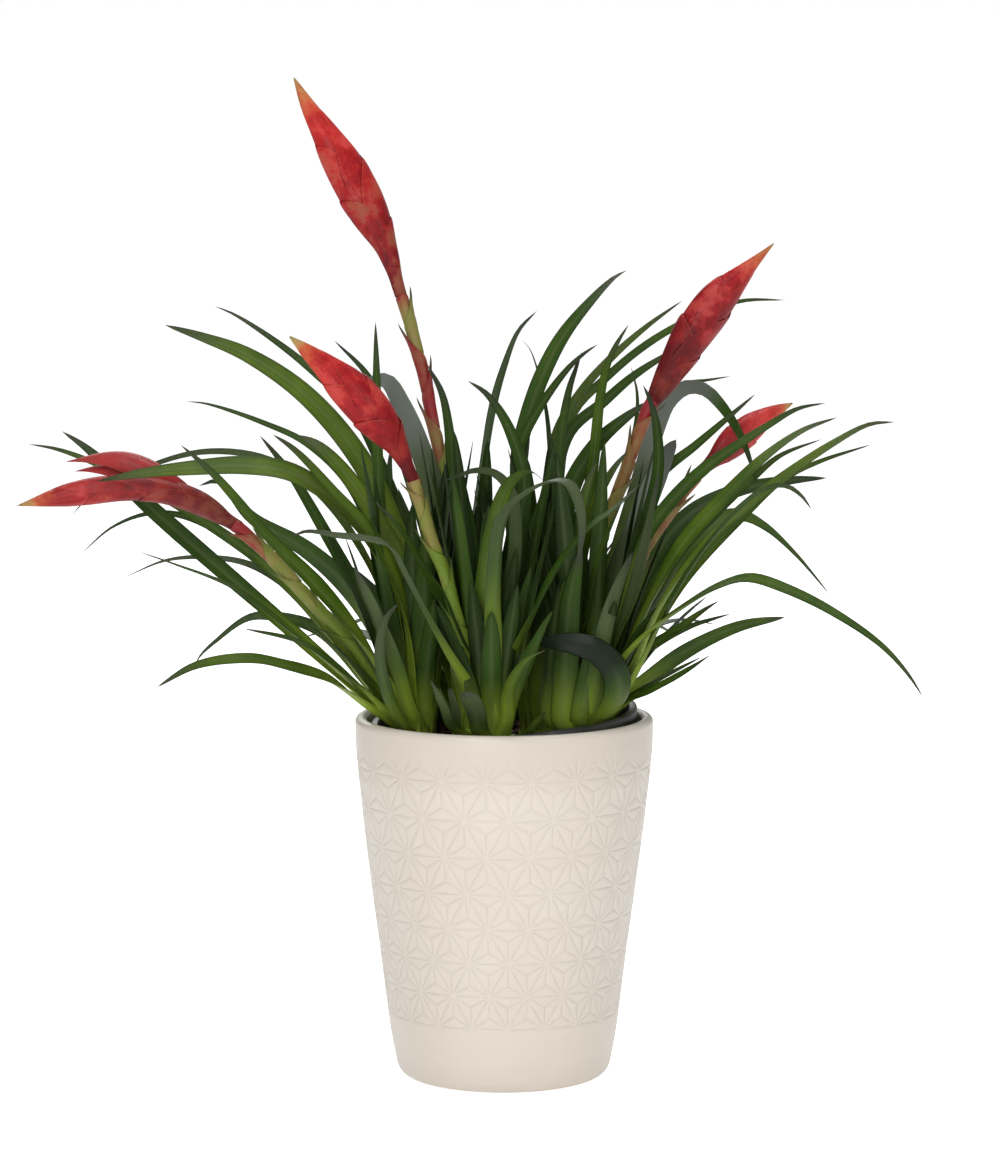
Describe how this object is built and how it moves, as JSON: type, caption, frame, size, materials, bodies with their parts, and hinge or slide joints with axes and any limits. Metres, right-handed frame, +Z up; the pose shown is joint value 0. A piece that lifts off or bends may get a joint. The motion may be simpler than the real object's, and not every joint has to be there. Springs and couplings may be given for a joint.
{
  "type": "potted flaming sword bromeliad",
  "caption": "Clump of strap-leaved bromeliad shoots with upright red sword-shaped flower spikes, in a nursery pot inside a glazed pot with an incised star lattice.",
  "frame": {"origin": "middle of the glazed pot's flat base", "axes": "+Z up, -Y towards the front, +X to the right as seen from the front"},
  "size_m": [0.2932, 0.2231, 0.3333],
  "materials": {
    "glaze": "cream satin glaze over a shallow incised star lattice",
    "plastic": "thin black nursery-pot plastic",
    "soil": "loose brown potting bark and peat",
    "leaf": "waxy strap leaves, dark green with bright and grey-green ones",
    "stalk": "yellow-green stalk with olive to red-brown sheaths",
    "bract": "waxy scarlet bracts with yellow-green tips"
  },
  "bodies": {
    "root": {"pot": "glaze", "nursery_pot": "plastic", "soil": "soil", "rosette_left": "leaf", "stalk_left": "stalk", "spike_left": "bract", "rosette_tall": "leaf", "stalk_tall": "stalk", "spike_tall": "bract", "rosette_front": "leaf", "stalk_front": "stalk", "spike_front": "bract", "rosette_back": "leaf", "stalk_back": "stalk", "spike_back": "bract", "rosette_right": "leaf", "stalk_right": "stalk", "spike_right": "bract"}
  },
  "joints": []
}
